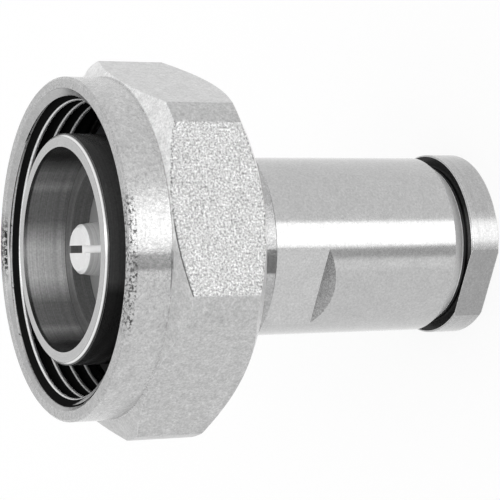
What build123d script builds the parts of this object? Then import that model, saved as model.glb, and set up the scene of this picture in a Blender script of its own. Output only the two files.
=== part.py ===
from build123d import *
from math import cos, radians, sin
import os

# A straight coaxial plug of the large screw-coupled size, 16 mm line bore, for a clamped cable.
# It stands on its cable end. Z is the plug's axis, up towards the mating end, and Z = 0 is the
# face of the clamp nut that it stands on. Sizes are millimetres.
# As on a connector drawing, places along the axis are distances behind the mating plane, where
# the socket's outer conductor butts. What lies in front of that plane has a negative place.

# Mating end
tube_outer_r = 10.65
tube_wall = 1.2
tube_reach = 4.3
tube_edge = 0.3
line_bore_r = 8.0
insulator_recess = 1.77
pin_r = 2.5
pin_reach = 2.58
pin_tip_step = 0.5
pin_tip_edge = 0.3
pin_taper_length = 1.45
slot_width = 0.7
slot_depth = 1.45
slot_turn = -12.3

# Coupling nut
coupling_gap = 3.85
thread_pitch = 1.5
thread_turns = 4.5
mouth_edge = 0.34
nut_lead = 4.25
collar_wall = 1.35
collar_length = 3.95
collar_edge = 0.2
flat_rise = 0.15
corner_rise = 1.85
front_cone_length = 1.2
corner_length = 6.55
rear_cone_length = 1.45
hub_wall = 0.8
hub_length = 4.05
hub_edge = 0.2
relief_depth = 0.3

# Outer contact, with the flange that the coupling nut pulls on
flange_rim = 0.4
flange_length = 1.8
neck_wall = 1.2
neck_length = 5.6
web_thickness = 1.0

# Mating gasket
gasket_width = 2.35
gasket_length = 1.3
gasket_seat_depth = 0.25

# Inner line
front_insulator_length = 2.63
contact_shoulder_r = 3.5
contact_shoulder_length = 1.43
contact_stem_step = 0.85
rear_insulator_length = 4.0
contact_tail_step = 0.8
contact_tail_length = 6.5
wire_bore_r = 1.2
wire_bore_depth = 5.0
solder_hole_r = 0.6
solder_hole_depth = 1.25

# Body
body_r = 8.5
body_length = 29.0
body_chamfer_length = 1.4
body_chamfer_depth = 0.85
body_neck_wall = 1.2
body_gland_wall = 1.92
wrench_flat_depth = 1.05
body_flat_turn = -43.3
body_flat_length = 7.25
body_flat_lead = 0.95
ring_groove_depth = 0.5
ring_thickness = 0.85
ring_depth = 1.2
ring_height = 0.6
ring_mouth = 35.0
seat_web = 1.5
seat_step = 1.6

# Cable gland
gland_nut_wall = 1.2
braid_bore_step = 1.3
braid_clamp_length = 7.0
braid_step = 2.6
knife_length = 1.2
knife_wall = 0.5
gland_gasket_length = 5.8
gland_washer_length = 1.0
clamp_head_step = 0.3
clamp_head_length = 3.1
clamp_edge = 0.15
clamp_flat_depth = 0.8
clamp_flat_turn = -41.2
clamp_mouth_edge = 0.5
seal_inset = 0.35
seal_length = 0.2

# Clearances
turning_clearance = 0.08
ring_clearance = 0.3
face_gap = 0.05
nut_play = 0.1
flat_clearance = 1.0

# Radii that follow from the walls
tube_inner_r = tube_outer_r - tube_wall
pin_tip_r = pin_r - pin_tip_step
gasket_seat_r = tube_outer_r - gasket_seat_depth
gasket_r = tube_outer_r + gasket_width
flange_r = gasket_r + flange_rim
thread_major_r = tube_outer_r + coupling_gap
collar_r = thread_major_r + collar_wall
hex_half = collar_r + flat_rise
hex_corner_r = hex_half + corner_rise
contact_stem_r = contact_shoulder_r - contact_stem_step
contact_tail_r = contact_stem_r - contact_tail_step
neck_r = body_r - body_neck_wall
neck_bore_r = neck_r - neck_wall
body_flat_half = body_r - wrench_flat_depth
ring_groove_r = body_r - ring_groove_depth
ring_r = body_r + ring_height
hub_bore_r = ring_r + ring_clearance
hub_r = hub_bore_r + hub_wall
gland_bore_r = body_r - body_gland_wall
gland_thread_r = gland_bore_r - turning_clearance
seat_bore_r = gland_thread_r - seat_step
cable_bore_r = gland_thread_r - gland_nut_wall
braid_bore_r = cable_bore_r - braid_bore_step
knife_r = cable_bore_r + knife_wall
clamp_head_r = body_r + clamp_head_step
clamp_flat_half = clamp_head_r - clamp_flat_depth
seal_r = clamp_flat_half - seal_inset

# Places behind the mating plane that several pieces share
nut_front = -nut_lead
collar_end = nut_front + collar_length
corner_start = collar_end + front_cone_length
corner_end = corner_start + corner_length
hex_rear = corner_end + rear_cone_length
hub_end = hex_rear + hub_length
insulator_rear = insulator_recess + front_insulator_length
flange_rear = insulator_rear + web_thickness
flange_front = flange_rear - flange_length
gasket_front = flange_front - gasket_length
lip_front = flange_rear + nut_play
thread_end = nut_front + mouth_edge + thread_turns * thread_pitch
ring_rear = hub_end - ring_depth
ring_front = ring_rear - ring_thickness
lip_end = ring_front - nut_play
neck_end = flange_rear + neck_length
rear_insulator_front = neck_end - rear_insulator_length
contact_end = rear_insulator_front + contact_tail_length
body_rear = flange_rear + body_length
seat_start = neck_end + seat_web
braid_clamp_rear = seat_start + braid_clamp_length
gland_gasket_rear = braid_clamp_rear + gland_gasket_length
washer_front = gland_gasket_rear + face_gap
washer_rear = washer_front + gland_washer_length
shank_front = washer_rear + face_gap
seal_front = body_rear + face_gap
head_front = seal_front + seal_length
head_rear = head_front + clamp_head_length


def across(back):
    """The plane across the axis at this distance behind the mating plane."""
    return Plane.XY.offset(head_rear - back)


def along(turn):
    """The plane through the axis whose X runs to the cable and Y leans this far from -Y."""
    out = radians(turn)
    return Plane(origin=(0, 0, head_rear), x_dir=(0, 0, -1), z_dir=(-cos(out), -sin(out), 0))


def section(*corners):
    """Half of a turned piece, from corners of (place behind the mating plane, radius)."""
    with BuildSketch(Plane.XZ) as half:
        with BuildLine():
            Polyline(*[(radius, head_rear - back) for back, radius in corners], close=True)
        make_face()
    return half.sketch


def two_flats(start, end, half, depth, turn, slope):
    """The side view of what two wrench flats take off a bar, each with a sloping rear end."""
    rise = depth + flat_clearance
    with BuildSketch(along(turn)) as cut:
        with BuildLine():
            Polyline(
                (start, half),
                (end, half),
                (end + slope * rise, half + rise),
                (start, half + rise),
                close=True,
            )
        make_face()
        mirror(about=Plane.XZ)
    return cut.sketch


# The coupling nut is turned, then milled to a hexagon. The cones at both ends of the hexagon
# leave the arcs that its flats end in. The hub behind it covers the retaining ring.
with BuildPart() as coupling_nut:
    revolve(section(
        (nut_front, 0),
        (nut_front, collar_r),
        (collar_end, collar_r),
        (corner_start, hex_corner_r),
        (corner_end, hex_corner_r),
        (hex_rear, collar_r),
        (hex_rear, hub_r),
        (hub_end, hub_r),
        (hub_end, 0),
    ), axis=Axis.Z)
    with BuildSketch(across(hub_end)):
        RegularPolygon(radius=hex_half, side_count=6, major_radius=False)
    extrude(amount=hub_end - nut_front, mode=Mode.INTERSECT)
    chamfer(faces().sort_by(Axis.Z)[-1].edges(), collar_edge)
    chamfer(faces().sort_by(Axis.Z)[0].edges(), hub_edge)
    # The thread's bore, the relief behind its last turn, the lip that pulls on the flange, and
    # the pocket for the ring
    revolve(section(
        (nut_front, 0),
        (nut_front, thread_major_r + mouth_edge),
        (nut_front + mouth_edge, thread_major_r),
        (thread_end, thread_major_r),
        (thread_end, thread_major_r + relief_depth),
        (lip_front, thread_major_r + relief_depth),
        (lip_front, body_r + turning_clearance),
        (lip_end, body_r + turning_clearance),
        (lip_end, hub_bore_r),
        (hub_end, hub_bore_r),
        (hub_end, 0),
    ), axis=Axis.Z, mode=Mode.SUBTRACT)
coupling_nut.part.label = "coupling_nut"

# The outer contact is one turning: the tube that enters the socket, the gasket's groove at its
# foot, the flange that the nut pulls on, and the neck that goes into the body.
with BuildPart() as outer_contact:
    revolve(section(
        (-tube_reach, tube_inner_r),
        (-tube_reach, tube_outer_r),
        (gasket_front, tube_outer_r),
        (gasket_front, gasket_seat_r),
        (flange_front, gasket_seat_r),
        (flange_front, flange_r),
        (flange_rear, flange_r),
        (flange_rear, neck_r),
        (neck_end, neck_r),
        (neck_end, neck_bore_r),
        (insulator_rear, neck_bore_r),
        (insulator_rear, line_bore_r),
        (0, line_bore_r),
        (0, tube_inner_r),
    ), axis=Axis.Z)
    chamfer(faces().sort_by(Axis.Z)[-1].outer_wire().edges(), tube_edge)
outer_contact.part.label = "outer_contact"

# A rubber gasket sprung into its groove, where the socket's rim presses on it
with BuildPart() as mating_gasket:
    with BuildSketch(across(flange_front)):
        Circle(gasket_r)
        Circle(gasket_seat_r, mode=Mode.SUBTRACT)
    extrude(amount=gasket_length)
mating_gasket.part.label = "mating_gasket"

# The front insulator holds the centre contact by a shoulder, in a stepped bore.
shoulder_rear = insulator_recess + contact_shoulder_length
with BuildPart() as front_insulator:
    with BuildSketch(across(insulator_rear)):
        Circle(line_bore_r)
        Circle(contact_stem_r, mode=Mode.SUBTRACT)
    extrude(amount=front_insulator_length)
    with BuildSketch(across(insulator_recess)):
        Circle(contact_shoulder_r)
    extrude(amount=-contact_shoulder_length, mode=Mode.SUBTRACT)
front_insulator.part.label = "front_insulator"

# The rear insulator fills the neck's end, against the step inside the body.
with BuildPart() as rear_insulator:
    with BuildSketch(across(neck_end)):
        Circle(neck_bore_r)
        Circle(contact_tail_r, mode=Mode.SUBTRACT)
    extrude(amount=rear_insulator_length)
rear_insulator.part.label = "rear_insulator"

# The centre contact. Its pin has a driver slot sawn across the tip. Its tail is bored for the
# cable's wire, with a hole in the side for the solder.
taper_start = pin_tip_edge - pin_reach
with BuildPart() as centre_contact:
    revolve(section(
        (-pin_reach, 0),
        (-pin_reach, pin_tip_r),
        (taper_start, pin_tip_r + pin_tip_edge),
        (taper_start + pin_taper_length, pin_r),
        (insulator_recess, pin_r),
        (insulator_recess, contact_shoulder_r),
        (shoulder_rear, contact_shoulder_r),
        (shoulder_rear, contact_stem_r),
        (rear_insulator_front, contact_stem_r),
        (rear_insulator_front, contact_tail_r),
        (contact_end, contact_tail_r),
        (contact_end, 0),
    ), axis=Axis.Z)
    with BuildSketch(along(slot_turn)):
        with Locations((slot_depth / 2 - pin_reach, 0)):
            Rectangle(slot_depth, 2 * pin_r)
    extrude(amount=slot_width / 2, both=True, mode=Mode.SUBTRACT)
    with BuildSketch(across(contact_end)):
        Circle(wire_bore_r)
    extrude(amount=wire_bore_depth, mode=Mode.SUBTRACT)
    with BuildSketch(along(slot_turn)):
        with Locations((contact_end - solder_hole_depth, 0)):
            Circle(solder_hole_r)
    extrude(amount=contact_tail_r, mode=Mode.SUBTRACT)
centre_contact.part.label = "centre_contact"

# The body goes over the neck, up to the flange. It has a groove for the ring, two wrench flats
# that run out at 45 degrees, and a bore from behind for the cable gland.
flat_front = hub_end - body_flat_lead
with BuildPart() as body:
    with BuildSketch(across(body_rear)):
        Circle(body_r)
    extrude(amount=body_length)
    rear_face = faces().sort_by(Axis.Z)[0]
    chamfer(rear_face.edges(), body_chamfer_depth, body_chamfer_length, reference=rear_face)
    revolve(section(
        (flange_rear, 0),
        (flange_rear, neck_r),
        (neck_end, neck_r),
        (neck_end, seat_bore_r),
        (seat_start, seat_bore_r),
        (seat_start + gland_bore_r - seat_bore_r, gland_bore_r),
        (body_rear, gland_bore_r),
        (body_rear, 0),
    ), axis=Axis.Z, mode=Mode.SUBTRACT)
    with BuildSketch(across(ring_rear)):
        Circle(body_r)
        Circle(ring_groove_r, mode=Mode.SUBTRACT)
    extrude(amount=ring_thickness, mode=Mode.SUBTRACT)
    flat_end = flat_front + body_flat_length
    extrude(two_flats(flat_front, flat_end, body_flat_half, wrench_flat_depth, body_flat_turn, 1),
            amount=body_r, both=True, mode=Mode.SUBTRACT)
body.part.label = "body"

# A split ring snapped into the body's groove keeps the coupling nut from sliding back.
mouth_half = radians(ring_mouth / 2)
with BuildPart() as retaining_ring:
    with BuildSketch(across(ring_rear)):
        Circle(ring_r)
        Circle(ring_groove_r, mode=Mode.SUBTRACT)
        with BuildLine():
            Polyline(
                (0, 0),
                (2 * ring_r * sin(mouth_half), -2 * ring_r * cos(mouth_half)),
                (-2 * ring_r * sin(mouth_half), -2 * ring_r * cos(mouth_half)),
                close=True,
            )
        make_face(mode=Mode.SUBTRACT)
    extrude(amount=ring_thickness)
retaining_ring.part.label = "retaining_ring"

# The cable gland starts with a coned ring that the cable's braid is folded over. Its rear edge
# bites into the gasket.
knife_root = braid_clamp_rear - knife_length
knife_inside = braid_clamp_rear - knife_length / 2
with BuildPart() as braid_clamp:
    revolve(section(
        (seat_start, braid_bore_r),
        (seat_start, seat_bore_r),
        (seat_start + gland_thread_r - seat_bore_r, gland_thread_r),
        (knife_root, gland_thread_r),
        (braid_clamp_rear, knife_r),
        (knife_inside, cable_bore_r),
        (seat_start + braid_step, cable_bore_r),
        (seat_start + braid_step, braid_bore_r),
    ), axis=Axis.Z)
braid_clamp.part.label = "braid_clamp"

with BuildPart() as gland_gasket:
    revolve(section(
        (knife_inside, cable_bore_r),
        (braid_clamp_rear, knife_r),
        (knife_root, gland_thread_r),
        (gland_gasket_rear, gland_thread_r),
        (gland_gasket_rear, cable_bore_r),
    ), axis=Axis.Z)
gland_gasket.part.label = "gland_gasket"

# A plain washer keeps the turning clamp nut from twisting the gasket.
with BuildPart() as gland_washer:
    with BuildSketch(across(washer_rear)):
        Circle(gland_thread_r)
        Circle(cable_bore_r, mode=Mode.SUBTRACT)
    extrude(amount=gland_washer_length)
gland_washer.part.label = "gland_washer"

with BuildPart() as seal_ring:
    with BuildSketch(across(head_front)):
        Circle(seal_r)
        Circle(gland_thread_r, mode=Mode.SUBTRACT)
    extrude(amount=seal_length)
seal_ring.part.label = "seal_ring"

# The clamp nut presses the gland together. The plug stands on its head.
with BuildPart() as clamp_nut:
    with BuildSketch(across(head_rear)):
        Circle(clamp_head_r)
    extrude(amount=clamp_head_length)
    chamfer(edges().filter_by(GeomType.CIRCLE), clamp_edge)
    with BuildSketch(across(head_front)):
        Circle(gland_thread_r)
    extrude(amount=head_front - shank_front)
    with BuildSketch(across(head_rear)):
        Circle(cable_bore_r)
    extrude(amount=head_rear - shank_front, mode=Mode.SUBTRACT)
    chamfer(faces().sort_by(Axis.Z)[0].inner_wires().edges(), clamp_mouth_edge)
    extrude(two_flats(head_front, head_rear, clamp_flat_half, clamp_flat_depth, clamp_flat_turn, 0),
            amount=clamp_head_r, both=True, mode=Mode.SUBTRACT)
clamp_nut.part.label = "clamp_nut"

os.makedirs("parts", exist_ok=True)
export_step(coupling_nut.part, "parts/coupling_nut.step")
export_step(outer_contact.part, "parts/outer_contact.step")
export_step(mating_gasket.part, "parts/mating_gasket.step")
export_step(front_insulator.part, "parts/front_insulator.step")
export_step(rear_insulator.part, "parts/rear_insulator.step")
export_step(centre_contact.part, "parts/centre_contact.step")
export_step(body.part, "parts/body.step")
export_step(retaining_ring.part, "parts/retaining_ring.step")
export_step(braid_clamp.part, "parts/braid_clamp.step")
export_step(gland_gasket.part, "parts/gland_gasket.step")
export_step(gland_washer.part, "parts/gland_washer.step")
export_step(seal_ring.part, "parts/seal_ring.step")
export_step(clamp_nut.part, "parts/clamp_nut.step")
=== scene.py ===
"""Looks for a straight, large-size coaxial cable plug that stands on its cable end."""

import logging
import math
from dataclasses import dataclass
from enum import Enum
from typing import Any

import bpy
from mathutils import Euler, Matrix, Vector


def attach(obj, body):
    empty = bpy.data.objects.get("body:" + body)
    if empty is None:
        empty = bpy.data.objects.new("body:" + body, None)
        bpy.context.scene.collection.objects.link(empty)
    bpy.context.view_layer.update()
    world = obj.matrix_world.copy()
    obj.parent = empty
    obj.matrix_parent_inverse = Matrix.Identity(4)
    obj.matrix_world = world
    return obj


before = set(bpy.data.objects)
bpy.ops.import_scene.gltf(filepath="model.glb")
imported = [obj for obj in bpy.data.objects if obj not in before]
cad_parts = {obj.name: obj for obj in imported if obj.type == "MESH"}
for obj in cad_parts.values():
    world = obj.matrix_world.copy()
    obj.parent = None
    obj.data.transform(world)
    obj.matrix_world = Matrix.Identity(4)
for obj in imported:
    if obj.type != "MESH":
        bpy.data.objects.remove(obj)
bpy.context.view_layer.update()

LOG = logging.getLogger("plug")
MM = 0.001
# The sockets that a Mix node uses for colours.
MIX_MASK, MIX_FIRST, MIX_SECOND, MIX_RESULT = 0, 6, 7, 2
Socket = bpy.types.NodeSocket
Colour = tuple[float, float, float]
Span = tuple[float, float]


def grey(level: float) -> tuple[float, float, float, float]:
    """A neutral colour with an opaque alpha."""
    return (level, level, level, 1.0)


class Board:
    """Adds nodes to one node tree and joins them."""

    def __init__(self, tree: bpy.types.NodeTree) -> None:
        """Take over the tree and empty it."""
        self.tree = tree
        tree.nodes.clear()

    def node(self, kind: str, values: dict[Any, Any] | None = None, **settings: Any) -> bpy.types.Node:
        """Add a node.

        Args:
            kind: the node's type name, without the word ShaderNode.
            values: what goes into its sockets, a number, a colour or another node's socket.
            settings: properties of the node itself.

        Returns:
            The new node.
        """
        made = self.tree.nodes.new("ShaderNode" + kind)
        for name, value in settings.items():
            setattr(made, name, value)
        for key, value in (values or {}).items():
            self.feed(made.inputs[key], value)
        return made

    def feed(self, socket: Socket, value: Any) -> None:
        """Join a socket to the value if that is a socket, and set it otherwise."""
        if isinstance(value, bpy.types.NodeSocket):
            self.tree.links.new(value, socket)
        else:
            socket.default_value = value

    def maths(self, operation: str, *values: Any, clamp: bool = False) -> Socket:
        """The result of a Math node."""
        made = self.tree.nodes.new("ShaderNodeMath")
        made.operation = operation
        made.use_clamp = clamp
        for socket, value in zip(made.inputs, values):
            self.feed(socket, value)
        return made.outputs[0]

    def add(self, first: Any, second: Any) -> Socket:
        """The sum of two values."""
        return self.maths("ADD", first, second)

    def less(self, first: Any, second: Any) -> Socket:
        """The first value less the second."""
        return self.maths("SUBTRACT", first, second)

    def times(self, *values: Any) -> Any:
        """The product of the values. For masks it is where they all meet."""
        product = values[0]
        for value in values[1:]:
            product = self.maths("MULTIPLY", product, value)
        return product

    def greatest(self, first: Any, second: Any) -> Socket:
        """The larger of two values. For masks it is where either holds."""
        return self.maths("MAXIMUM", first, second)

    def turn(self, side: Socket, back: Socket) -> Socket:
        """The turn about the plug's axis in degrees, 0 at -Y and positive towards +X."""
        return self.maths("DEGREES", self.maths("ARCTAN2", side, self.times(back, -1.0)))

    def ramp(self, value: Any, low: float, high: float, start: float = 0.0, end: float = 1.0) -> Socket:
        """A clamped change from start to end while the value goes from low to high."""
        made = self.node("MapRange", {0: value, 1: low, 2: high, 3: start, 4: end})
        return made.outputs[0]

    def between(self, mask: Socket, off: float, on: float) -> Socket:
        """One value where the mask is 0 and another where it is 1."""
        return self.ramp(mask, 0.0, 1.0, off, on)

    def noise(self, place: Socket, scale: Any, detail: float = 2.0, rough: float = 0.5) -> Socket:
        """Noise in space."""
        values = {"Vector": place, "Scale": scale, "Detail": detail, "Roughness": rough}
        return self.node("TexNoise", values).outputs[0]

    def line_noise(self, along: Socket, detail: float = 2.0) -> Socket:
        """Noise along a line, about one lump to the unit."""
        values = {"W": along, "Scale": 1.0, "Detail": detail}
        return self.node("TexNoise", values, noise_dimensions="1D").outputs[0]

    def mix(self, mask: Any, first: Any, second: Any, blend: str = "MIX") -> Socket:
        """A blend of two colours."""
        made = self.node("Mix", data_type="RGBA", blend_type=blend)
        self.feed(made.inputs[MIX_MASK], mask)
        self.feed(made.inputs[MIX_FIRST], first)
        self.feed(made.inputs[MIX_SECOND], second)
        return made.outputs[MIX_RESULT]

    def group(self, tree: bpy.types.NodeTree, values: dict[str, Any]) -> bpy.types.Node:
        """Add a node group."""
        made = self.tree.nodes.new("ShaderNodeGroup")
        made.node_tree = tree
        for key, value in values.items():
            self.feed(made.inputs[key], value)
        return made


class GroupMaker:
    """A new shader node group with named inputs and outputs."""

    def __init__(self, name: str, inputs: dict[str, Any], outputs: dict[str, str]) -> None:
        """Make the group's face.

        Args:
            name: the group's name.
            inputs: each input's default, a number or None for a vector.
            outputs: each output's kind, Float, Vector or Color.
        """
        self.tree = bpy.data.node_groups.new(name, "ShaderNodeTree")
        self.board = Board(self.tree)
        face = self.tree.interface
        for key, default in inputs.items():
            kind = "NodeSocketVector" if default is None else "NodeSocketFloat"
            socket = face.new_socket(key, in_out="INPUT", socket_type=kind)
            if default is not None:
                socket.default_value = default
        for key, kind in outputs.items():
            face.new_socket(key, in_out="OUTPUT", socket_type="NodeSocket" + kind)
        self.given = self.tree.nodes.new("NodeGroupInput").outputs
        self.result = self.tree.nodes.new("NodeGroupOutput").inputs

    def put(self, key: str, value: Socket) -> None:
        """Send a socket to one of the group's outputs."""
        self.tree.links.new(value, self.result[key])


def place_group() -> bpy.types.NodeTree:
    """Where a point lies on the plug: its place, height, radius and turn, in mm and degrees."""
    outputs = {"Place": "Vector", "Height": "Float", "Radius": "Float", "Turn": "Float"}
    made = GroupMaker("place on plug", {}, outputs)
    board = made.board
    coordinates = board.node("TexCoord").outputs["Object"]
    to_mm = (1 / MM, 1 / MM, 1 / MM)
    place = board.node("VectorMath", {0: coordinates, 1: to_mm}, operation="MULTIPLY").outputs[0]
    side, back, height = board.node("SeparateXYZ", {0: place}).outputs
    made.put("Place", place)
    made.put("Height", height)
    made.put("Radius", board.maths("SQRT", board.add(board.times(side, side), board.times(back, back))))
    made.put("Turn", board.turn(side, back))
    return made.tree


def band_group() -> bpy.types.NodeTree:
    """A mask that is 1 where a value lies between two limits, with soft ends."""
    made = GroupMaker("band", {"Value": 0.0, "Low": 0.0, "High": 1.0, "Soft": 0.05}, {"Mask": "Float"})
    board, given = made.board, made.given
    above = board.less(given["Value"], given["Low"])
    below = board.less(given["High"], given["Value"])
    rise = board.maths("DIVIDE", above, given["Soft"], clamp=True)
    fall = board.maths("DIVIDE", below, given["Soft"], clamp=True)
    made.put("Mask", board.times(rise, fall))
    return made.tree


def grain_group() -> bpy.types.NodeTree:
    """Blasted or cast grain: a height and a tone of small pits."""
    inputs = {"Place": None, "Grain Size": 0.3, "Depth": 1.0}
    made = GroupMaker("blasted grain", inputs, {"Height": "Float", "Pits": "Float"})
    board, given = made.board, made.given
    scale = board.maths("DIVIDE", 1.0, given["Grain Size"])
    coarse = board.noise(given["Place"], scale, 4.0, 0.7)
    fine = board.noise(given["Place"], board.times(scale, 2.7))
    both = board.add(board.times(coarse, 0.65), board.times(fine, 0.35))
    made.put("Height", board.times(both, given["Depth"]))
    made.put("Pits", board.times(board.ramp(both, 0.5, 0.36), given["Depth"]))
    return made.tree


def turning_group() -> bpy.types.NodeTree:
    """Marks that a lathe leaves, rings about the axis at uneven places and depths."""
    inputs = {"Along": 0.0, "Pitch": 0.1, "Place": None}
    made = GroupMaker("turning marks", inputs, {"Height": "Float", "Streaks": "Float"})
    board, given = made.board, made.given
    along = board.maths("DIVIDE", given["Along"], given["Pitch"])
    fine = board.line_noise(along, 3.0)
    wide = board.line_noise(board.times(along, 0.17))
    both = board.add(board.times(fine, 0.6), board.times(wide, 0.4))
    patch = board.ramp(board.noise(given["Place"], 0.25), 0.3, 0.7, 0.55, 1.0)
    made.put("Height", both)
    made.put("Streaks", board.times(board.ramp(both, 0.4, 0.62), patch))
    return made.tree


def mottle_group() -> bpy.types.NodeTree:
    """Cloudy changes of tone over a plated surface, 1 on average."""
    inputs = {"Place": None, "Patch Size": 2.0, "Amount": 0.1}
    made = GroupMaker("plating mottle", inputs, {"Factor": "Float"})
    board, given = made.board, made.given
    scale = board.maths("DIVIDE", 1.0, given["Patch Size"])
    cloud = board.noise(given["Place"], scale, 5.0, 0.65)
    swing = board.times(board.less(cloud, 0.5), 4.0)
    made.put("Factor", board.maths("MULTIPLY_ADD", swing, given["Amount"], 1.0))
    return made.tree


def wear_group() -> bpy.types.NodeTree:
    """Edges rubbed bright: a broken mask along the corners of the solid, and dark nicks there."""
    inputs = {"Place": None, "Width": 0.1, "Break": 0.4}
    made = GroupMaker("edge wear", inputs, {"Mask": "Float", "Nicks": "Float"})
    board, given = made.board, made.given
    rounded = board.node("Bevel", {"Radius": board.times(given["Width"], MM)}, samples=6).outputs[0]
    sharp = board.node("NewGeometry").outputs["Normal"]
    bend = board.node("VectorMath", {0: rounded, 1: sharp}, operation="DOT_PRODUCT").outputs["Value"]
    edge = board.ramp(bend, 0.995, 0.9)
    rough = board.less(board.noise(given["Place"], 1.6, 4.0, 0.7), given["Break"])
    nick = board.ramp(board.noise(given["Place"], 4.5, 3.0), 0.55, 0.64)
    made.put("Mask", board.times(edge, board.ramp(rough, 0.0, 0.12)))
    made.put("Nicks", board.times(edge, nick))
    return made.tree


@dataclass(frozen=True)
class Effects:
    """The node groups that the finishes share."""

    place: bpy.types.NodeTree
    band: bpy.types.NodeTree
    grain: bpy.types.NodeTree
    turning: bpy.types.NodeTree
    mottle: bpy.types.NodeTree
    wear: bpy.types.NodeTree

    @classmethod
    def make(cls) -> "Effects":
        """Build each group once."""
        return cls(place_group(), band_group(), grain_group(), turning_group(), mottle_group(), wear_group())


class Workpiece:
    """A material in the making, with the place of the point already at hand."""

    def __init__(self, name: str, effects: Effects) -> None:
        """Start an empty material."""
        self.material = bpy.data.materials.new(name)
        self.material.use_nodes = True
        self.effects = effects
        self.board = Board(self.material.node_tree)
        where = self.board.group(effects.place, {}).outputs
        self.place, self.height = where["Place"], where["Height"]
        self.radius, self.turn = where["Radius"], where["Turn"]
        self.side = self.board.node("SeparateXYZ", {0: self.place}).outputs[0]
        normal = self.board.node("NewGeometry").outputs["Normal"]
        self.lean = self.board.node("SeparateXYZ", {0: normal}).outputs[2]

    def band(self, value: Socket, low: float, high: float, soft: float = 0.05) -> Socket:
        """A mask of where the value lies between two limits."""
        given = {"Value": value, "Low": low, "High": high, "Soft": soft}
        return self.board.group(self.effects.band, given).outputs[0]

    def across(self, turn: float) -> Socket:
        """The distance from the axis, measured square to two flats that are turned this far from -Y."""
        out = (math.sin(math.radians(turn)), -math.cos(math.radians(turn)), 0)
        reach = self.board.node("VectorMath", {0: self.place, 1: out}, operation="DOT_PRODUCT")
        return self.board.maths("ABSOLUTE", reach.outputs["Value"])

    def flats(self, turn: float, half: float) -> Socket:
        """A mask of two flats, this far turned and this far from the axis."""
        return self.band(self.across(turn), half - 0.02, half + 0.02, 0.01)

    def layers(self, base: Any, *coats: tuple[Socket, Any]) -> Any:
        """Paint over a base.

        Args:
            base: the colour to start from.
            coats: pairs of a mask and a grey level or a colour's socket, the last one on top.

        Returns:
            The colour on top.
        """
        for mask, tone in coats:
            base = self.board.mix(mask, base, grey(tone) if isinstance(tone, float) else tone)
        return base

    def tone(self, colour: Any, patch: float, amount: Any) -> Socket:
        """The colour with cloudy plating over it."""
        given = {"Place": self.place, "Patch Size": patch, "Amount": amount}
        factor = self.board.group(self.effects.mottle, given).outputs[0]
        return self.board.mix(1.0, colour, factor, "MULTIPLY")

    def specks(self, scale: float, low: float, high: float, most: float = 1.0) -> Socket:
        """A mask of ragged specks, from noise with so many lumps to the millimetre."""
        return self.board.ramp(self.board.noise(self.place, scale, 3.0, 0.7), low, high, 0.0, most)

    def grain(self, size: float, depth: Any = 1.0) -> bpy.types.Node:
        """The blasted grain, with outputs Height and Pits."""
        return self.board.group(self.effects.grain, {"Place": self.place, "Grain Size": size, "Depth": depth})

    def turning(self, pitch: float, along: Socket | None = None) -> bpy.types.Node:
        """The lathe's marks, with outputs Height and Streaks."""
        given = {"Along": self.height if along is None else along, "Pitch": pitch, "Place": self.place}
        return self.board.group(self.effects.turning, given)

    def wear(self, width: float, broken: float) -> bpy.types.Node:
        """The rubbed edges, with outputs Mask and Nicks."""
        return self.board.group(self.effects.wear, {"Place": self.place, "Width": width, "Break": broken})

    def bump(self, height: Socket, depth: float, normal: Socket | None = None) -> Socket:
        """A normal bent by a height, whose full depth is in millimetres."""
        made = self.board.node("Bump", {"Height": height, "Distance": depth * MM, "Strength": 1.0})
        if normal is not None:
            self.board.feed(made.inputs["Normal"], normal)
        return made.outputs[0]

    def finish(self, colour: Any, roughness: Any, metallic: Any, normal: Socket,
               specular: float = 0.5) -> bpy.types.Material:
        """Close the material with its shader.

        Args:
            colour: the base colour or the socket that gives it.
            roughness: the roughness or the socket that gives it.
            metallic: 1 for metal and 0 for anything else.
            normal: the bent normal.
            specular: the strength of a plain surface's gloss.

        Returns:
            The finished material.
        """
        values = {"Base Color": colour, "Roughness": roughness, "Metallic": metallic, "Normal": normal}
        shader = self.board.node("BsdfPrincipled", {**values, "Specular IOR Level": specular})
        self.board.node("OutputMaterial", {"Surface": shader.outputs[0]})
        return self.material


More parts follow.
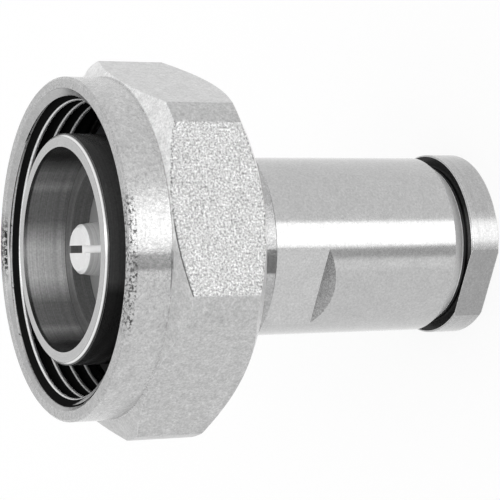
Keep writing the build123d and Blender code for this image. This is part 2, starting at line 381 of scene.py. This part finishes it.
@dataclass(frozen=True)
class NutFinish:
    """Matt plate on the coupling nut: blasted flats, a smoother collar and a turned hub.

    Levels are greys of the base colour, and a turn is where a zone starts and ends, in degrees from -Y.
    The collar's shadow band, the darker low cones and low flats, the hub's shade, the crease at the collar
    and the bore are painted shade.
    """

    collar_level: float = 0.5
    shadow_level: float = 0.28
    cone_level: float = 0.72
    low_cone_level: float = 0.5
    corner_level: float = 0.46
    flat_level: float = 0.54
    low_flat_level: float = 0.48
    front_flat_level: float = 0.56
    hub_level: float = 0.4
    hub_shade_level: float = 0.16
    bore_level: float = 0.02
    rim_level: float = 0.43
    rim_stain_level: float = 0.02
    pit_level: float = 0.06
    seam_level: float = 0.1
    rubbed_level: float = 0.8
    collar_roughness: float = 0.2
    flat_roughness: float = 0.32
    front_roughness: float = 0.45
    dull_metal: float = 0.45
    grain_size: float = 0.24
    grain_depth: float = 0.16
    front_turn: Span = (-26.4, 26.4)
    low_turn: Span = (-30.0, -34.0)
    low_cone_turn: Span = (-8.0, -14.0)
    shadow_turn: Span = (-20.0, -13.0)
    shade_turn: Span = (-27.0, -13.5)
    seam_turn: Span = (-27.0, -11.0)
    edge_turn: Span = (-2.0, -6.0)
    lip_turn: Span = (-42.0, 8.0)
    stain_turn: Span = (152.0, 180.0)

    def make(self, effects: Effects, shape: "CouplingNut") -> bpy.types.Material:
        """Build the material from the nut's zones."""
        work = Workpiece("nut_plate_blasted", effects)
        board = work.board
        hexagon = board.times(
            work.band(work.height, shape.hexagon_low, shape.hexagon_high, 0.06),
            board.ramp(work.radius, shape.collar_radius + 0.06, shape.collar_radius + 0.12),
        )
        upright = board.ramp(board.maths("ABSOLUTE", work.lean), 0.12, 0.04)
        flats = board.times(hexagon, upright)
        front = board.times(flats, work.band(work.turn, *self.front_turn, 0.5))
        colour = self.zones(work, shape, hexagon, flats, front)
        colour = work.tone(colour, 1.1, 0.12)
        colour = work.tone(colour, 0.4, 0.16)
        colour = work.tone(colour, 0.2, board.between(front, 0.2, 0.8))
        grain = work.grain(self.grain_size, board.between(front, 0.25, 1.0))
        colour = work.layers(colour, (board.times(grain.outputs["Pits"], 0.4), self.pit_level))
        colour = self.marks(work, shape, front, colour)
        wear = work.wear(0.16, 0.42)
        # The bore behind the thread is painted near black as shade.
        inside = board.ramp(work.radius, shape.collar_radius - 1.2, shape.collar_radius - 1.3)
        bore = board.times(inside, board.ramp(work.height, shape.hexagon_low, shape.hexagon_high))
        colour = work.layers(
            colour,
            (board.times(wear.outputs["Nicks"], 0.8), self.pit_level),
            (board.times(wear.outputs["Mask"], 0.5), self.rubbed_level),
            (bore, self.bore_level),
        )
        cut = board.between(front, self.flat_roughness, self.front_roughness)
        rough = board.mix(hexagon, grey(self.collar_roughness), cut)
        dull = board.greatest(board.times(hexagon, board.less(1.0, upright)), bore)
        metal = board.between(dull, 1.0, self.dull_metal)
        return work.finish(colour, rough, metal, work.bump(grain.outputs["Height"], self.grain_depth))

    def rim(self, work: Workpiece, shape: "CouplingNut") -> Socket:
        """A mask of the ring round the mouth."""
        high = work.board.ramp(work.height, shape.rim - 0.25, shape.rim - 0.2)
        return work.board.times(high, work.board.ramp(work.lean, 0.5, 0.9))

    def zones(self, work: Workpiece, shape: "CouplingNut", hexagon: Socket, flats: Socket,
              front: Socket) -> Socket:
        """The level of each zone, before its grain and its marks.

        Args:
            work: the material in the making.
            shape: the nut's sizes.
            hexagon: where the hexagon and its cones are.
            flats: where its six flats are.
            front: where the flat that faces -Y is.

        Returns:
            The zones' colour.
        """
        board = work.board
        corner = board.ramp(work.radius, shape.corner_radius - 0.06, shape.corner_radius - 0.03)
        low_cone = board.ramp(work.turn, *self.low_cone_turn)
        hub = board.ramp(work.height, shape.hub_top + 0.02, shape.hub_top)
        # The collar's shadow band, the darker low cones and low flats and the hub's shade are painted shade.
        return work.layers(
            grey(self.collar_level),
            (work.band(work.turn, *self.shadow_turn, 1.5), self.shadow_level),
            (hexagon, board.mix(low_cone, grey(self.cone_level), grey(self.low_cone_level))),
            (flats, self.flat_level),
            (board.times(flats, board.ramp(work.turn, *self.low_turn)), self.low_flat_level),
            (front, self.front_flat_level),
            (board.times(flats, corner), self.corner_level),
            (hub, self.hub_level),
            (board.times(hub, work.band(work.turn, *self.shade_turn, 1.0)), self.hub_shade_level),
            (self.rim(work, shape), self.rim_level),
        )

    def marks(self, work: Workpiece, shape: "CouplingNut", front: Socket, colour: Socket) -> Socket:
        """Add the burrs at the front flat's cut edges and a dark line along one, painted shade in the
        collar's crease, the specks on the lip and the rim's stain.

        Args:
            work: the material in the making.
            shape: the nut's sizes.
            front: where the flat that faces -Y is.
            colour: the colour so far.

        Returns:
            The marked colour.
        """
        board = work.board
        out = board.less(work.radius, shape.collar_radius)
        below = board.less(board.less(shape.hexagon_high, board.times(out, shape.cone_slope)), work.height)
        beyond = board.less(board.less(work.height, shape.hexagon_low), board.times(out, shape.rear_slope))
        burrs = board.greatest(
            board.times(front, work.band(below, -0.1, 0.3, 0.1)),
            board.times(front, work.band(beyond, -0.1, 0.16, 0.05)),
        )
        edge = board.times(front, work.band(below, -0.1, 0.17, 0.05), board.ramp(work.turn, *self.edge_turn))
        # Painted shade in the crease where the cone meets the collar, within these turns.
        seam = board.times(
            work.band(work.height, shape.hexagon_high - 0.02, shape.hexagon_high + 0.1, 0.03),
            work.band(work.turn, *self.seam_turn, 3.0),
        )
        lip = board.times(
            board.ramp(work.height, shape.rim - 0.75, shape.rim - 0.6),
            work.band(work.turn, *self.lip_turn, 6.0),
        )
        stain = board.times(self.rim(work, shape), work.band(work.turn, *self.stain_turn, 8.0))
        return work.layers(
            colour,
            (board.times(burrs, work.specks(4.5, 0.5, 0.6, 0.85)), self.pit_level),
            (board.greatest(edge, seam), self.seam_level),
            (board.times(lip, work.specks(3.6, 0.5, 0.58)), self.pit_level),
            (board.times(stain, work.specks(3.4, 0.42, 0.5)), self.rim_stain_level),
        )


@dataclass(frozen=True)
class BodyFinish:
    """Satin plate over a finely turned body, with milled flats, grainier run-outs painted darker as shade and
    a painted highlight at the rear chamfer.
    """

    level: float = 0.48
    flat_level: float = 0.53
    slope_level: float = 0.36
    chamfer_level: float = 0.45
    lip_level: float = 1.0
    pit_level: float = 0.2
    rubbed_level: float = 0.85
    roughness: float = 0.14
    chamfer_roughness: float = 0.6
    chamfer_metal: float = 0.35

    def make(self, effects: Effects, shape: "Body") -> bpy.types.Material:
        """Build the material from the body's zones."""
        work = Workpiece("body_plate_turned", effects)
        board = work.board
        flats = board.times(
            work.flats(shape.flat_turn, shape.flat_half),
            work.band(work.height, shape.flat_low, shape.flat_high, 0.02),
        )
        slope = board.times(
            work.band(work.lean, 0.6, 0.8, 0.02),
            work.band(work.height, shape.slope_low, shape.flat_low, 0.02),
        )
        chamfer = work.band(work.height, shape.rear, shape.chamfer_top, 0.02)
        turning = work.turning(0.08)
        grain = work.grain(0.16, board.between(slope, 0.18, 1.0))
        # The run-outs' darker level is painted shade, and the white line at the rear chamfer's inner edge is
        # a painted highlight.
        colour = work.layers(
            grey(self.level),
            (flats, self.flat_level),
            (slope, self.slope_level),
            (chamfer, self.chamfer_level),
            (work.band(work.height, shape.rear, shape.rear + 0.2, 0.03), self.lip_level),
        )
        colour = work.tone(colour, 1.6, 0.05)
        colour = work.tone(colour, 0.2, board.between(slope, 0.2, 0.5))
        colour = work.layers(
            colour,
            (board.times(grain.outputs["Pits"], 0.35), self.pit_level),
            (board.times(work.wear(0.1, 0.3).outputs["Mask"], 0.5), self.rubbed_level),
        )
        rough = board.between(chamfer, self.roughness, self.chamfer_roughness)
        metal = board.between(chamfer, 1.0, self.chamfer_metal)
        normal = work.bump(turning.outputs["Height"], 0.002)
        return work.finish(colour, rough, metal, work.bump(grain.outputs["Height"], 0.012, normal))


@dataclass(frozen=True)
class ClampNutFinish:
    """Bright plate over coarser turning on the clamp nut, with painted shade and a painted glint on its front
    face.
    """

    level: float = 0.38
    flat_level: float = 0.32
    streak_level: float = 0.62
    front_level: float = 0.015
    front_glint_level: float = 0.1
    nick_level: float = 0.2
    rubbed_level: float = 0.85
    roughness: float = 0.2
    glint_turn: Span = (-26.0, 14.0)

    def make(self, effects: Effects, shape: "ClampNut") -> bpy.types.Material:
        """Build the material from the clamp nut's zones."""
        work = Workpiece("clamp_nut_plate", effects)
        board = work.board
        flats = work.flats(shape.flat_turn, shape.flat_half)
        front = board.times(
            board.ramp(work.lean, 0.85, 0.95),
            board.ramp(work.height, shape.head_top - 0.1, shape.head_top - 0.05),
        )
        turning = work.turning(0.07)
        grain = work.grain(0.18, 0.2)
        streaks = board.times(turning.outputs["Streaks"], board.between(flats, 0.4, 0.05))
        colour = work.layers(grey(self.level), (flats, self.flat_level), (streaks, self.streak_level))
        colour = work.tone(colour, 1.2, 0.06)
        colour = work.tone(colour, 0.2, 0.2)
        wear = work.wear(0.12, 0.35)
        # The front face is painted near black as the shade of the narrow gap at the body's rear, with a
        # painted glint across the middle turns.
        glint = work.band(work.turn, *self.glint_turn, 12.0)
        colour = work.layers(
            colour,
            (board.times(wear.outputs["Mask"], 0.7), self.rubbed_level),
            (wear.outputs["Nicks"], self.nick_level),
            (front, board.mix(glint, grey(self.front_level), grey(self.front_glint_level))),
        )
        normal = work.bump(turning.outputs["Height"], 0.006)
        return work.finish(colour, self.roughness, 1.0, work.bump(grain.outputs["Height"], 0.012, normal))


@dataclass(frozen=True)
class ContactFinish:
    """Plate on the tube, with painted shade over its inside and its flank, and painted light in its bore.

    A side is a distance along X, and a depth is one from the bore's wall, both in millimetres.
    """

    rim_level: float = 0.44
    edge_level: float = 0.8
    inside_level: float = 0.17
    stripe_level: float = 0.55
    glint_level: float = 0.27
    end_level: float = 0.004
    step_level: float = 0.13
    flank_level: float = 0.07
    low_flank_level: float = 0.02
    rubbed_level: float = 0.9
    streak_gain: float = 1.6
    roughness: float = 0.24
    metal: float = 0.3
    stripe_side: Span = (-3.2, 4.6)
    high_glint_side: Span = (6.9, 7.9)
    low_glint_side: Span = (-6.6, -5.5)
    low_flank_side: Span = (-5.0, -6.0)
    high_end_depth: Span = (1.1, 0.2)
    low_end_depth: Span = (2.9, 1.6)

    def make(self, effects: Effects, shape: "OuterContact") -> bpy.types.Material:
        """Build the material from the tube's zones."""
        work = Workpiece("tube_plate_turned", effects)
        board = work.board
        rim = board.ramp(work.height, shape.rim - 0.4, shape.rim - 0.3)
        # A painted highlight along the rim's outer edge.
        edge = board.times(
            board.ramp(work.height, shape.rim - 0.22, shape.rim - 0.15),
            board.ramp(work.radius, shape.tube_radius - 0.3, shape.tube_radius - 0.26),
        )
        ring = board.ramp(work.lean, 0.9, 0.95)
        turning = work.turning(0.09, board.mix(ring, work.height, work.radius))
        # The flank inside the nut is painted dark as shade, darker still on its low side.
        low_flank = board.ramp(work.side, *self.low_flank_side)
        flank = board.mix(low_flank, grey(self.flank_level), grey(self.low_flank_level))
        inside = board.ramp(work.radius, shape.bore_radius + 0.15, shape.bore_radius + 0.05)
        colour = work.layers(
            flank,
            (inside, self.lining(work, shape, inside)),
            (board.times(rim, ring), self.rim_level),
        )
        streaks = board.times(turning.outputs["Streaks"], board.between(rim, 0.7, 0.2))
        colour = work.layers(colour, (streaks, board.mix(1.0, colour, grey(self.streak_gain), "MULTIPLY")))
        colour = work.tone(colour, 1.5, 0.06)
        colour = work.tone(colour, 0.2, board.between(rim, 0.25, 0.06))
        colour = work.layers(
            colour,
            (board.times(rim, work.wear(0.1, 0.2).outputs["Mask"], 0.4), self.rubbed_level),
            (edge, self.edge_level),
        )
        metal = board.between(rim, self.metal, 1.0)
        return work.finish(colour, self.roughness, metal, work.bump(turning.outputs["Height"], 0.006))

    def lining(self, work: Workpiece, shape: "OuterContact", inside: Socket) -> Socket:
        """The bore's painted light and shade: a dark level, a wide bright stripe, two thin glints, darker
        past the step, and black at its top and bottom.
        """
        board = work.board
        glints = board.add(
            work.band(work.side, *self.high_glint_side, 0.5),
            work.band(work.side, *self.low_glint_side, 0.5),
        )
        high = [shape.bore_radius - depth for depth in self.high_end_depth]
        low = [depth - shape.bore_radius for depth in self.low_end_depth]
        ends = board.greatest(board.ramp(work.side, *high), board.ramp(work.side, *low))
        return work.layers(
            grey(self.inside_level),
            (work.band(work.side, *self.stripe_side, 2.5), self.stripe_level),
            (glints, self.glint_level),
            (board.times(inside, board.ramp(work.height, shape.step + 0.05, shape.step)), self.step_level),
            (ends, self.end_level),
        )


@dataclass(frozen=True)
class PinFinish:
    """Bright plate on the centre contact, with turning rings down its side, painted shade in its slot and a
    painted highlight on the slot's floor.
    """

    level: float = 0.82
    tip_level: float = 0.7
    ring_level: float = 0.45
    floor_level: float = 0.98
    slot_level: float = 0.2
    rubbed_level: float = 0.92
    roughness: float = 0.35
    metal: float = 0.25

    def make(self, effects: Effects, shape: "OuterContact") -> bpy.types.Material:
        """Build the material from the pin's zones."""
        work = Workpiece("pin_plate_turned", effects)
        board = work.board
        turning = work.turning(0.16)
        side = board.ramp(board.maths("ABSOLUTE", work.lean), 0.6, 0.4)
        slot = board.ramp(work.across(shape.slot_turn + 90), shape.slot_half + 0.03, shape.slot_half + 0.01)
        above = board.ramp(work.height, shape.slot_floor, shape.slot_floor + 0.05)
        # The slot's walls are painted dark as shade.
        colour = work.layers(
            grey(self.level),
            (board.ramp(work.lean, 0.9, 0.95), self.tip_level),
            (board.times(turning.outputs["Streaks"], side, 0.6), self.ring_level),
            (board.times(slot, side, above), self.slot_level),
        )
        colour = work.tone(colour, 0.8, 0.05)
        colour = work.tone(colour, 0.16, 0.05)
        # The slot's floor is painted near white as a highlight.
        floor = board.times(
            slot,
            board.ramp(work.lean, 0.8, 0.9),
            board.ramp(work.height, shape.slot_middle - 0.05, shape.slot_middle - 0.15),
        )
        colour = work.layers(
            colour,
            (board.times(work.wear(0.1, 0.2).outputs["Mask"], 0.5), self.rubbed_level),
            (floor, self.floor_level),
        )
        metal = board.between(floor, self.metal, 1.0)
        return work.finish(colour, self.roughness, metal, work.bump(turning.outputs["Height"], 0.01))


@dataclass(frozen=True)
class ThreadFinish:
    """The thread: bright, rubbed crests painted darker with depth as shade, and a bright lead-in, over flanks
    and roots painted near black as shade.
    """

    crest_level: float = 0.8
    crest_metal: float = 0.75
    lead_level: float = 0.42
    lead_stain_level: float = 0.03
    bead_level: float = 0.95
    root_level: float = 0.01
    flank_level: float = 0.008
    deep_share: float = 0.4
    roughness: float = 0.3
    stain_side: Span = (-0.1, 6.8)
    bright_turn: Span = (125.0, 215.0)

    def make(self, effects: Effects, shape: "Thread") -> bpy.types.Material:
        """Build the material from the distance to the crest and to the mouth."""
        work = Workpiece("thread_plate", effects)
        board = work.board
        crest = board.ramp(work.radius, shape.crest_radius + 0.15, shape.crest_radius + 0.1)
        # Painted shade: the crests grow darker with depth into the nut.
        depth = board.ramp(work.height, shape.mouth_height - 6.5, shape.mouth_height - 1.0, self.deep_share)
        lead = board.greatest(self.chamfer(work, shape), self.cone(work, shape))
        stain = board.times(
            board.ramp(work.radius, shape.bore_radius + 0.03, shape.bore_radius + 0.08),
            work.band(work.side, *self.stain_side, 1.8),
            work.specks(3.4, 0.4, 0.48),
        )
        root = board.ramp(work.radius, shape.bore_radius - 0.08, shape.bore_radius - 0.05)
        angle = board.maths("FLOORED_MODULO", work.turn, 360.0)
        climb = board.times(board.less(angle, shape.bead_turn), shape.pitch / 360)
        level = board.less(work.height, climb)
        bead = board.times(root, board.ramp(level, shape.bead_low, shape.bead_low + 0.06))
        # The bead is a painted highlight along the bore's edge, brightest within the bright turns.
        bright = work.band(angle, *self.bright_turn, 20.0)
        # The flanks and roots are painted near black as shade.
        colour = work.layers(
            grey(self.flank_level),
            (crest, board.mix(1.0, grey(self.crest_level), depth, "MULTIPLY")),
            (root, self.root_level),
            (board.times(bead, work.specks(2.4, 0.32, 0.4)),
             board.mix(bright, grey(self.lead_level), grey(self.bead_level))),
            (lead, self.lead_level),
            (board.times(lead, stain), self.lead_stain_level),
        )
        colour = work.tone(colour, 0.7, 0.08)
        colour = work.tone(colour, 0.2, 0.2)
        metal = board.greatest(
            board.times(lead, board.less(1.0, stain)),
            board.between(crest, 0.0, self.crest_metal),
        )
        normal = work.bump(work.grain(0.15, 0.5).outputs["Height"], 0.01)
        return work.finish(colour, self.roughness, metal, normal, 0.0)

    def chamfer(self, work: Workpiece, shape: "Thread") -> Socket:
        """A mask of the chamfer at the mouth."""
        board = work.board
        high = board.ramp(work.height, shape.bead_low, shape.bead_low + 0.05)
        return board.times(work.band(work.lean, 0.6, 0.8, 0.03), high)

    def cone(self, work: Workpiece, shape: "Thread") -> Socket:
        """A mask of the cone that cuts the first crests."""
        board = work.board
        fall = board.times(board.less(shape.cone_height, work.height), shape.cone_slope)
        above = board.less(board.less(shape.bore_radius - shape.skin, fall), work.radius)
        return board.times(
            board.ramp(board.maths("ABSOLUTE", above), 0.05, 0.02),
            work.band(work.radius, shape.crest_radius - 0.01, shape.bore_radius - 0.2, 0.04),
        )


@dataclass(frozen=True)
class PlainFinish:
    """A finish with one colour, its mottle and a fine grain, for rubber, insulator and hidden metal."""

    name: str
    colour: Colour
    roughness: float
    metallic: float
    patch: float
    mottle: float
    grain_size: float
    grain_depth: float

    def make(self, effects: Effects) -> bpy.types.Material:
        """Build the material."""
        work = Workpiece(self.name, effects)
        colour = work.tone((*self.colour, 1.0), self.patch, self.mottle)
        grain = work.grain(self.grain_size)
        normal = work.bump(grain.outputs["Height"], self.grain_depth)
        return work.finish(colour, self.roughness, self.metallic, normal)


class Plain(Enum):
    """The finishes that need no zones."""

    RUBBER = PlainFinish("black_rubber", (0.022, 0.022, 0.023), 0.45, 0.0, 1.2, 0.12, 0.12, 0.01)
    # The insulator sits deep in the tube, and its grey is painted shade.
    INSULATOR = PlainFinish("insulator_in_painted_shade", (0.27, 0.27, 0.27), 0.45, 0.0, 1.5, 0.04, 0.2, 0.006)
    SPRING = PlainFinish("spring_steel", (0.42, 0.42, 0.41), 0.3, 1.0, 0.8, 0.08, 0.12, 0.006)
    GLAND = PlainFinish("gland_plate", (0.5, 0.5, 0.49), 0.28, 1.0, 1.0, 0.08, 0.15, 0.008)


def dress(node: str, material: bpy.types.Material) -> None:
    """Give a CAD node its material."""
    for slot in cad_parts[node].material_slots:
        slot.material = material
    LOG.info("dressed %s in %s", node, material.name)


@dataclass
class Thread:
    """The ridge of the coupling nut's right-hand inside thread, with the cone that leads into it.

    Heights, radii and widths are in millimetres. The start is the height of the first crest, and the bead
    is the turn of the bore's edge above it that carries a painted highlight.
    """

    pitch: float = 1.5
    bore_radius: float = 14.5
    crest_radius: float = 13.69
    crest_width: float = 0.375
    flank_width: float = 0.47
    start: float = 43.28
    turns: int = 5
    steps_per_turn: int = 120
    flank_steps: int = 6
    crest_steps: int = 6
    crest_round: float = 0.09
    mouth_height: float = 42.0
    mouth_radius: float = 14.84
    cone_height: float = 41.66
    cone_slope: float = 1.75
    first_turns: float = 1.2
    bead_turn: float = 160.0
    bead_low: float = 41.22
    bury: float = 0.4
    skin: float = 0.02
    run_out_turns: float = 0.15

    def profile(self) -> list[tuple[float, float]]:
        """Half a pitch each side of a crest, as (rise, radius)."""
        root = self.bore_radius - self.skin
        half = self.crest_width / 2
        side = [(self.pitch / 2, root)]
        for step in range(self.flank_steps + 1):
            share = step / self.flank_steps
            rise = half + self.flank_width * (1 - share)
            side.append((rise, root + (self.crest_radius + self.crest_round - root) * share))
        top = []
        for step in range(1, self.crest_steps):
            share = 1 - 2 * step / self.crest_steps
            top.append((half * share, self.crest_radius + self.crest_round * share * share))
        return side + top + [(-rise, radius) for rise, radius in reversed(side)]

    def reach(self, radius: float, height: float, turned: float) -> float:
        """The radius left after the mouth's chamfer, the lead-in cone and the run-out at the last turn."""
        chamfered = min(height, self.mouth_height - self.skin)
        cone = self.mouth_radius - self.skin - (self.mouth_height - chamfered)
        if height < self.cone_height and turned > self.first_turns:
            cone = self.bore_radius - self.skin - self.cone_slope * (self.cone_height - height)
        fade = min(1.0, (self.turns - turned) / self.run_out_turns)
        worn = self.bore_radius - (self.bore_radius - radius) * fade
        return max(worn, cone)

    def build(self) -> bpy.types.Object:
        """Sweep one pitch of the thread down its helix, buried in the nut behind.

        Returns:
            The thread's mesh object.
        """
        profile = self.profile()
        back = self.bore_radius + self.bury
        points: list[tuple[float, float, float]] = []
        faces: list[tuple[int, ...]] = []
        size = len(profile) + 2
        count = self.turns * self.steps_per_turn
        for step in range(count + 1):
            turned = step / self.steps_per_turn
            angle = -2 * math.pi * turned
            level = self.start - self.pitch * turned
            section = [(rise, self.reach(radius, level + rise, turned)) for rise, radius in profile]
            section += [(-self.pitch / 2, back), (self.pitch / 2, back)]
            for rise, radius in section:
                height = min(level + rise, self.mouth_height - self.skin)
                points.append((radius * math.cos(angle) * MM, radius * math.sin(angle) * MM, height * MM))
            if step:
                last, here = (step - 1) * size, step * size
                for corner in range(size):
                    after = (corner + 1) % size
                    faces.append((last + corner, here + corner, here + after, last + after))
        faces += [tuple(reversed(range(size))), tuple(count * size + k for k in range(size))]
        mesh = bpy.data.meshes.new("coupling_thread")
        mesh.from_pydata(points, [], faces)
        mesh.validate()
        piece = bpy.data.objects.new("coupling_thread", mesh)
        bpy.context.scene.collection.objects.link(piece)
        return piece


@dataclass
class CouplingNut:
    """The coupling nut: collar, hexagon, hub and its thread. A slope is height lost for radius gained."""

    rim: float = 42.0
    collar_radius: float = 15.85
    corner_radius: float = 17.85
    cone_slope: float = 0.6
    rear_slope: float = 0.725
    hexagon_high: float = 38.05
    hexagon_low: float = 28.85
    hub_top: float = 28.8

    def dress(self, effects: Effects) -> None:
        """Finish the nut and cut its thread."""
        dress("coupling_nut", NutFinish().make(effects, self))
        thread = Thread()
        ridge = thread.build()
        ridge.data.materials.append(ThreadFinish().make(effects, thread))
        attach(ridge, "coupling_nut")
        LOG.info("cut the thread, %d faces", len(ridge.data.polygons))


@dataclass
class OuterContact:
    """The outer contact with its gasket, and the insulator and pin inside it."""

    rim: float = 42.05
    tube_radius: float = 10.65
    bore_radius: float = 9.45
    step: float = 37.75
    slot_turn: float = -12.3
    slot_half: float = 0.35
    slot_floor: float = 38.88
    slot_middle: float = 39.6

    def dress(self, effects: Effects) -> None:
        """Finish the tube and what it holds."""
        dress("outer_contact", ContactFinish().make(effects, self))
        dress("centre_contact", PinFinish().make(effects, self))
        insulator = Plain.INSULATOR.value.make(effects)
        dress("front_insulator", insulator)
        dress("rear_insulator", insulator)


@dataclass
class Body:
    """The body with its wrench flats and the ring in its groove."""

    flat_turn: float = -43.3
    flat_half: float = 7.45
    flat_high: float = 25.8
    flat_low: float = 18.5
    slope_low: float = 17.3
    chamfer_top: float = 4.75
    rear: float = 3.35

    def dress(self, effects: Effects) -> None:
        """Finish the body and its ring."""
        dress("body", BodyFinish().make(effects, self))
        dress("retaining_ring", Plain.SPRING.value.make(effects))


@dataclass
class ClampNut:
    """The cable gland: clamp nut, seal, and the rings inside."""

    flat_turn: float = -41.2
    flat_half: float = 8.0
    head_top: float = 3.1

    def dress(self, effects: Effects) -> None:
        """Finish the gland's pieces."""
        dress("clamp_nut", ClampNutFinish().make(effects, self))
        rubber = Plain.RUBBER.value.make(effects)
        for node in ("seal_ring", "gland_gasket", "mating_gasket"):
            dress(node, rubber)
        plate = Plain.GLAND.value.make(effects)
        for node in ("braid_clamp", "gland_washer"):
            dress(node, plate)


@dataclass(frozen=True)
class Strip:
    """An upright strip of the tent that is lighter or darker than the rest, in degrees from -Y."""

    level: float
    start: float
    end: float
    soft: float = 0.6


@dataclass
class Studio:
    """A white tent with a long bright panel beside a dark one, a pale floor and the camera.

    The camera's place is in millimetres and its turn in degrees.
    """

    floor_size: float = 4.0
    tent_level: float = 1.0
    strips: tuple[Strip, ...] = (
        Strip(1.12, -44.0, -29.0, 2.0),
        Strip(0.6, -29.0, -13.5, 1.5),
        Strip(2.3, -13.5, 17.8),
    )
    floor_level: float = 0.9
    floor_glow: float = 0.85
    camera_place: tuple[float, float, float] = (-41.38, -189.79, 120.47)
    camera_turn: tuple[float, float, float] = (-1.932, 63.235, -104.365)
    lens: float = 163.755
    sensor: float = 36.0

    def floor(self) -> None:
        """Lay the floor. What the metal mirrors below it is the tent."""
        half = self.floor_size / 2
        mesh = bpy.data.meshes.new("floor")
        corners = [(-half, -half, 0), (half, -half, 0), (half, half, 0), (-half, half, 0)]
        mesh.from_pydata(corners, [], [(0, 1, 2, 3)])
        floor = bpy.data.objects.new("floor", mesh)
        bpy.context.scene.collection.objects.link(floor)
        material = bpy.data.materials.new("pale_floor")
        material.use_nodes = True
        board = Board(material.node_tree)
        path = board.node("LightPath").outputs
        matt = board.node("BsdfDiffuse", {"Color": grey(self.floor_level)}).outputs[0]
        glow = board.node("Emission", {"Color": grey(1.0), "Strength": 1.0}).outputs[0]
        pale = board.node("MixShader", {0: self.floor_glow, 1: matt, 2: glow}).outputs[0]
        clear = board.node("BsdfTransparent").outputs[0]
        mirrored = board.greatest(path["Is Glossy Ray"], path["Is Transmission Ray"])
        seen = board.node("MixShader", {0: mirrored, 1: pale, 2: clear}).outputs[0]
        board.node("OutputMaterial", {"Surface": seen})
        mesh.materials.append(material)

    def tent(self) -> None:
        """Hang the tent and its panels in the world."""
        world = bpy.data.worlds.new("tent")
        bpy.context.scene.world = world
        world.use_nodes = True
        world.cycles.sampling_method = "NONE"
        board = Board(world.node_tree)
        parts = board.node("SeparateXYZ", {0: board.node("TexCoord").outputs["Generated"]}).outputs
        turn = board.turn(parts[0], parts[1])
        level: Any = grey(self.tent_level)
        for strip in self.strips:
            rise = board.ramp(turn, strip.start - strip.soft, strip.start + strip.soft)
            fall = board.ramp(turn, strip.end + strip.soft, strip.end - strip.soft)
            level = board.mix(board.times(rise, fall), level, grey(strip.level))
        path = board.node("LightPath").outputs
        lit = board.mix(path["Is Camera Ray"], level, grey(1.0))
        glow = board.node("Background", {"Color": lit, "Strength": 1.0}).outputs[0]
        board.node("OutputWorld", {"Surface": glow})

    def camera(self) -> None:
        """Set the camera at the photograph's viewing angle, with the plug across the picture."""
        lens = bpy.data.cameras.new("camera")
        lens.sensor_width = self.sensor
        lens.lens = self.lens
        lens.clip_start = 0.005
        camera = bpy.data.objects.new("camera", lens)
        camera.location = Vector(self.camera_place) * MM
        camera.rotation_euler = Euler([math.radians(angle) for angle in self.camera_turn])
        bpy.context.scene.collection.objects.link(camera)
        bpy.context.scene.camera = camera

    def build(self) -> None:
        """Set up the floor, the light and the camera."""
        bpy.context.scene.view_settings.view_transform = "Standard"
        self.camera()
        self.floor()
        self.tent()
        LOG.info("set up the studio")


def main() -> None:
    """Build the studio and dress each sub-assembly."""
    logging.basicConfig(level=logging.INFO, format="%(name)s: %(message)s")
    Studio().build()
    effects = Effects.make()
    for assembly in (CouplingNut(), OuterContact(), Body(), ClampNut()):
        assembly.dress(effects)
        LOG.info("finished %s", type(assembly).__name__)


if __name__ == "__main__":
    main()
